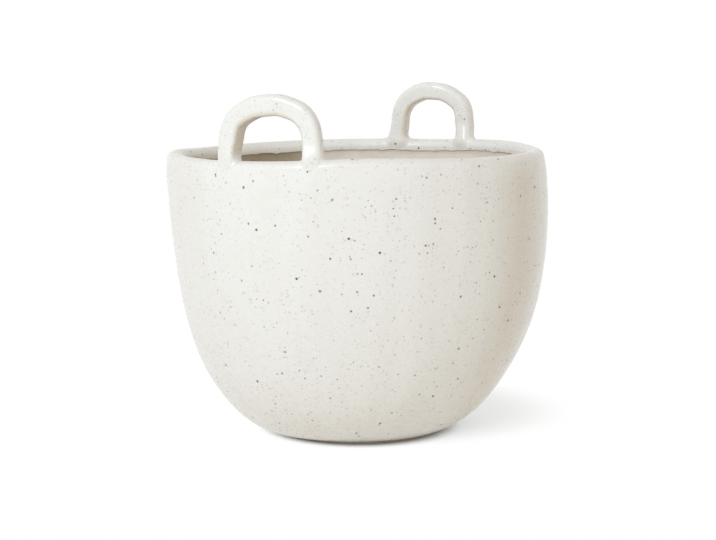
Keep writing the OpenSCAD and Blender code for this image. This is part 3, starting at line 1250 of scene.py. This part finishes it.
def floor_material():
    """Pale floor that keeps the pot's shadow and runs out into plain white."""
    s = settings("studio")
    material, tree = empty_material("studio_floor")
    vector = add(tree, "TexCoord").outputs["Object"]
    right, behind = SHADOW_AT
    shifted = add(tree, "Mapping", {
        "Vector": vector, "Rotation": (0, 0, -s.turn), "Location": (-right, -behind, 0)})
    from_shadow = vectors(tree, "LENGTH", {0: shifted.outputs[0]})["Value"]
    beyond = spread(tree, from_shadow, *SHADOW_FADE)
    from_pot = vectors(tree, "LENGTH", {0: vector})["Value"]
    clear = spread(tree, from_pot, FOOT_R, FOOT_R + CONTACT_WIDTH)
    seen = maths(tree, "MULTIPLY", seen_ray(tree), clear)
    paper = add(tree, "BsdfDiffuse", {"Color": colour(s.paper)})
    lift = add(tree, "Emission", {"Color": colour(s.floor_lift), "Strength": seen})
    near = add(tree, "AddShader", {0: paper.outputs[0], 1: lift.outputs[0]})
    white = add(tree, "Emission", {"Strength": 1.0})
    far = maths(tree, "MULTIPLY", seen, beyond)
    mixed = add(tree, "MixShader", {0: far, 1: near.outputs[0], 2: white.outputs[0]})
    add(tree, "OutputMaterial", {"Surface": mixed.outputs[0]})
    return material


def make_world():
    """Room light: brightest from the front, dimmest from high up, and white where it is seen."""
    s = settings("studio")
    world = bpy.data.worlds.new("studio")
    bpy.context.scene.world = world
    world.use_nodes = True
    tree = world.node_tree
    tree.nodes.clear()
    turned = add(tree, "Mapping", {
        "Vector": add(tree, "TexCoord").outputs["Generated"], "Rotation": (0, 0, -s.turn)})
    way = add(tree, "SeparateXYZ", {"Vector": turned.outputs[0]}).outputs
    flat = add(tree, "CombineXYZ", {"X": way["X"], "Y": way["Y"]}).outputs[0]
    level = vectors(tree, "NORMALIZE", {0: flat})[0]
    depth = add(tree, "SeparateXYZ", {"Vector": level}).outputs["Y"]
    sides = blend(
        tree, maths(tree, "GREATER_THAN", way["X"], 0.0), colour(s.left), colour(s.right))
    ends = blend(
        tree, maths(tree, "GREATER_THAN", way["Y"], 0.0), colour(s.front), colour(s.back))
    tint = blend(tree, maths(tree, "MULTIPLY", depth, depth), sides, ends)
    high = spread(tree, way["Z"], math.sin(ABOVE_FROM), math.sin(ABOVE_TO))
    tint = blend(tree, high, tint, colour(s.above))
    room = add(tree, "Background", {"Color": tint, "Strength": 1.0})
    white = add(tree, "Background", {"Color": (1, 1, 1, 1), "Strength": 1.0})
    mixed = add(tree, "MixShader", {
        0: seen_ray(tree), 1: room.outputs[0], 2: white.outputs[0]})
    add(tree, "OutputWorld", {"Surface": mixed.outputs[0]})


def make_lamp():
    """The large soft lamp, high at the camera's left."""
    s = settings("studio")
    right, towards, up = Vector(KEY_WAY).normalized() * KEY_DISTANCE
    middle = Vector((0, 0, RIM_Z / 2))
    away = Vector((
        right * math.cos(s.turn) + towards * math.sin(s.turn),
        right * math.sin(s.turn) - towards * math.cos(s.turn),
        up))
    lamp = bpy.data.lights.new("key", "AREA")
    lamp.shape = "SQUARE"
    lamp.size = KEY_SIZE
    lamp.energy = s.key
    lamp.color = s.key_tint
    made = bpy.data.objects.new("key", lamp)
    made.location = middle + away
    made.rotation_euler = (-away).to_track_quat("-Z", "Y").to_euler()
    bpy.context.scene.collection.objects.link(made)


def make_camera():
    """The camera, at the photograph's viewing angle."""
    s = settings("studio")
    camera = bpy.data.cameras.new("camera")
    camera.lens = s.lens
    camera.clip_start = 50 * MM
    made = bpy.data.objects.new("camera", camera)
    made.location = (
        s.distance * math.sin(s.turn), -s.distance * math.cos(s.turn), s.height)
    made.rotation_euler = (math.pi / 2 - s.pitch, 0, s.turn + s.aim)
    bpy.context.scene.collection.objects.link(made)
    bpy.context.scene.camera = made


def make_studio():
    """The floor, the lamp, the room light and the camera."""
    bm = bmesh.new()
    bmesh.ops.create_grid(bm, x_segments=1, y_segments=1, size=FLOOR_SIZE)
    mesh = bpy.data.meshes.new("studio_floor")
    bm.to_mesh(mesh)
    bm.free()
    mesh.materials.append(floor_material())
    floor = bpy.data.objects.new("studio_floor", mesh)
    bpy.context.scene.collection.objects.link(floor)
    make_world()
    make_lamp()
    make_camera()
    bpy.context.scene.view_settings.view_transform = "Standard"


# Operators


class POT_OT_foot(Operator):
    """Makes the bare foot ring"""

    bl_idname = "pot.foot"
    bl_label = "Foot ring"

    def execute(self, context):
        make_foot()
        return {"FINISHED"}


class POT_OT_floor(Operator):
    """Makes the clay floor of the pot"""

    bl_idname = "pot.floor"
    bl_label = "Clay floor"

    def execute(self, context):
        make_floor()
        return {"FINISHED"}


class POT_OT_wall(Operator):
    """Makes the clay wall"""

    bl_idname = "pot.wall"
    bl_label = "Clay wall"

    def execute(self, context):
        make_wall()
        return {"FINISHED"}


class POT_OT_lip(Operator):
    """Makes the clay lip"""

    bl_idname = "pot.lip"
    bl_label = "Clay lip"

    def execute(self, context):
        make_lip()
        return {"FINISHED"}


class POT_OT_body_glaze(Operator):
    """Makes the body's glaze coat"""

    bl_idname = "pot.body_glaze"
    bl_label = "Body glaze"

    def execute(self, context):
        make_body_glaze()
        return {"FINISHED"}


class POT_OT_handles(Operator):
    """Makes both loop handles"""

    bl_idname = "pot.handles"
    bl_label = "Loop handles"

    def execute(self, context):
        for name in HANDLES:
            make_handle(name)
        return {"FINISHED"}


class POT_OT_studio(Operator):
    """Makes the floor, the light and the camera"""

    bl_idname = "pot.studio"
    bl_label = "Studio"

    def execute(self, context):
        make_studio()
        return {"FINISHED"}


OPERATORS = (
    POT_OT_foot, POT_OT_floor, POT_OT_wall, POT_OT_lip,
    POT_OT_body_glaze, POT_OT_handles, POT_OT_studio,
)
SETTINGS = {
    "shape": PotShape, "handle": HandleShape, "colours": PotColours, "studio": StudioSettings,
}


class POT_PT_pieces(Panel):
    """Lists the pieces of the pot and their settings"""

    bl_idname = "POT_PT_pieces"
    bl_label = "Flower Pot"
    bl_space_type = "VIEW_3D"
    bl_region_type = "UI"
    bl_category = "Flower Pot"

    def draw(self, context):
        for kind in SETTINGS:
            box = self.layout.box()
            group = getattr(context.scene, "pot_" + kind)
            for name in group.__annotations__:
                box.prop(group, name)
        for operator in OPERATORS:
            self.layout.operator(operator.bl_idname)


CLASSES = (*SETTINGS.values(), *OPERATORS, POT_PT_pieces)


def register():
    """Adds the classes, and the settings to the scene."""
    for made in CLASSES:
        bpy.utils.register_class(made)
    for kind, group in SETTINGS.items():
        setattr(bpy.types.Scene, "pot_" + kind, PointerProperty(type=group))


def unregister():
    """Takes the settings from the scene, and the classes away."""
    for kind in SETTINGS:
        delattr(bpy.types.Scene, "pot_" + kind)
    for made in reversed(CLASSES):
        bpy.utils.unregister_class(made)


def main():
    """Makes every piece."""
    register()
    for operator in OPERATORS:
        group, name = operator.bl_idname.split(".")
        getattr(getattr(bpy.ops, group), name)()


if __name__ == "__main__":
    main()
